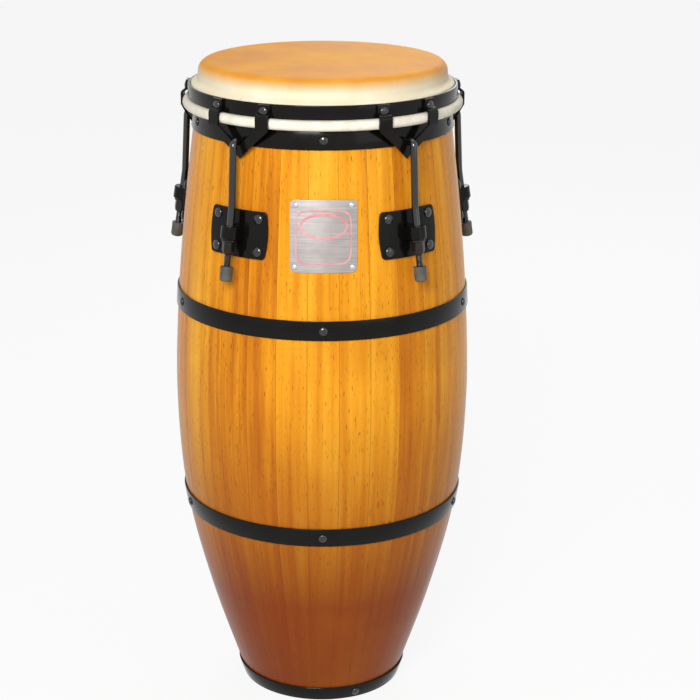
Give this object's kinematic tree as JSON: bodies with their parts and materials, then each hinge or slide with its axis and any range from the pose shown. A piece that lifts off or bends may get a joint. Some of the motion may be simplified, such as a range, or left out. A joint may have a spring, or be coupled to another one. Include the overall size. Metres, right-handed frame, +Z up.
{
  "type": "conga",
  "caption": "Tall stave-built conga with a skin head, steel bands and a crown drawn down by hook rods at bolted side plates.",
  "frame": {"origin": "centre of the footprint of the whole drum, on the plane that its foot stands on", "axes": "+Z up along the drum's axis, -Y towards the badge, which is the front"},
  "size_m": [0.3624, 0.3635, 0.762],
  "materials": {
    "wood": "gloss lacquered amber to red-brown",
    "black_steel": "gloss black",
    "nut_steel": "gloss black, worn bright at edges",
    "brushed_aluminium": "brushed",
    "skin": "natural hide",
    "rubber": "matt dark grey"
  },
  "bodies": {
    "shell": {"shell": "wood", "foot_band": "black_steel", "lower_band": "black_steel", "upper_band": "black_steel", "top_band": "black_steel", "badge": "brushed_aluminium", "side_plate_1": "black_steel", "side_plate_bolt_1_1": "black_steel", "side_plate_bolt_1_2": "black_steel", "side_plate_bolt_1_3": "black_steel", "side_plate_bolt_1_4": "black_steel", "side_plate_2": "black_steel", "side_plate_bolt_2_1": "black_steel", "side_plate_bolt_2_2": "black_steel", "side_plate_bolt_2_3": "black_steel", "side_plate_bolt_2_4": "black_steel", "side_plate_3": "black_steel", "side_plate_bolt_3_1": "black_steel", "side_plate_bolt_3_2": "black_steel", "side_plate_bolt_3_3": "black_steel", "side_plate_bolt_3_4": "black_steel", "side_plate_4": "black_steel", "side_plate_bolt_4_1": "black_steel", "side_plate_bolt_4_2": "black_steel", "side_plate_bolt_4_3": "black_steel", "side_plate_bolt_4_4": "black_steel", "side_plate_5": "black_steel", "side_plate_bolt_5_1": "black_steel", "side_plate_bolt_5_2": "black_steel", "side_plate_bolt_5_3": "black_steel", "side_plate_bolt_5_4": "black_steel"},
    "crown": {"crown_band": "black_steel", "hoop_core": "black_steel", "drumhead": "skin", "crown_strap_1": "black_steel", "crown_strap_2": "black_steel", "crown_strap_3": "black_steel", "crown_strap_4": "black_steel", "crown_strap_5": "black_steel"},
    "rod_1": {"tuning_rod_1": "black_steel", "rod_cap_1": "rubber"},
    "nut_1": {"tuning_nut_1": "nut_steel"},
    "rod_2": {"tuning_rod_2": "black_steel", "rod_cap_2": "rubber"},
    "nut_2": {"tuning_nut_2": "nut_steel"},
    "rod_3": {"tuning_rod_3": "black_steel", "rod_cap_3": "rubber"},
    "nut_3": {"tuning_nut_3": "nut_steel"},
    "rod_4": {"tuning_rod_4": "black_steel", "rod_cap_4": "rubber"},
    "nut_4": {"tuning_nut_4": "nut_steel"},
    "rod_5": {"tuning_rod_5": "black_steel", "rod_cap_5": "rubber"},
    "nut_5": {"tuning_nut_5": "nut_steel"}
  },
  "joints": [
    {"name": "crown_travel", "type": "slide", "parent": "shell", "child": "crown", "axis": [0, 0, 1], "range_m": [-0.005, 0.005], "deforming": ["drumhead"]},
    {"name": "rod_slide_1", "type": "slide", "parent": "shell", "child": "rod_1", "axis": [-0.092, 0.1266, 0.9877], "range_m": [-0.0051, 0.0051]},
    {"name": "nut_turn_1", "type": "hinge", "parent": "shell", "child": "nut_1", "pos_m": [0.10286, -0.14988, 0.594], "axis": [-0.092, 0.1266, 0.9877], "range_deg": [-1300, 1300]},
    {"name": "rod_slide_2", "type": "slide", "parent": "shell", "child": "rod_2", "axis": [-0.1488, -0.0483, 0.9877], "range_m": [-0.0051, 0.0051]},
    {"name": "nut_turn_2", "type": "hinge", "parent": "shell", "child": "nut_2", "pos_m": [0.16643, 0.04578, 0.594], "axis": [-0.1488, -0.0483, 0.9877], "range_deg": [-1300, 1300]},
    {"name": "rod_slide_3", "type": "slide", "parent": "shell", "child": "rod_3", "axis": [0, -0.1564, 0.9877], "range_m": [-0.0051, 0.0051]},
    {"name": "nut_turn_3", "type": "hinge", "parent": "shell", "child": "nut_3", "pos_m": [0, 0.1667, 0.594], "axis": [0, -0.1564, 0.9877], "range_deg": [-1300, 1300]},
    {"name": "rod_slide_4", "type": "slide", "parent": "shell", "child": "rod_4", "axis": [0.1488, -0.0483, 0.9877], "range_m": [-0.0051, 0.0051]},
    {"name": "nut_turn_4", "type": "hinge", "parent": "shell", "child": "nut_4", "pos_m": [-0.16643, 0.04578, 0.594], "axis": [0.1488, -0.0483, 0.9877], "range_deg": [-1300, 1300]},
    {"name": "rod_slide_5", "type": "slide", "parent": "shell", "child": "rod_5", "axis": [0.092, 0.1266, 0.9877], "range_m": [-0.0051, 0.0051]},
    {"name": "nut_turn_5", "type": "hinge", "parent": "shell", "child": "nut_5", "pos_m": [-0.10286, -0.14988, 0.594], "axis": [0.092, 0.1266, 0.9877], "range_deg": [-1300, 1300]}
  ],
  "couplings": [
    {"joint": "rod_slide_1", "follows": "crown_travel", "ratio": 1.0125},
    {"joint": "nut_turn_1", "follows": "crown_travel", "rad_per_m": -4508.5},
    {"joint": "rod_slide_2", "follows": "crown_travel", "ratio": 1.0125},
    {"joint": "nut_turn_2", "follows": "crown_travel", "rad_per_m": -4508.5},
    {"joint": "rod_slide_3", "follows": "crown_travel", "ratio": 1.0125},
    {"joint": "nut_turn_3", "follows": "crown_travel", "rad_per_m": -4508.5},
    {"joint": "rod_slide_4", "follows": "crown_travel", "ratio": 1.0125},
    {"joint": "nut_turn_4", "follows": "crown_travel", "rad_per_m": -4508.5},
    {"joint": "rod_slide_5", "follows": "crown_travel", "ratio": 1.0125},
    {"joint": "nut_turn_5", "follows": "crown_travel", "rad_per_m": -4508.5}
  ]
}
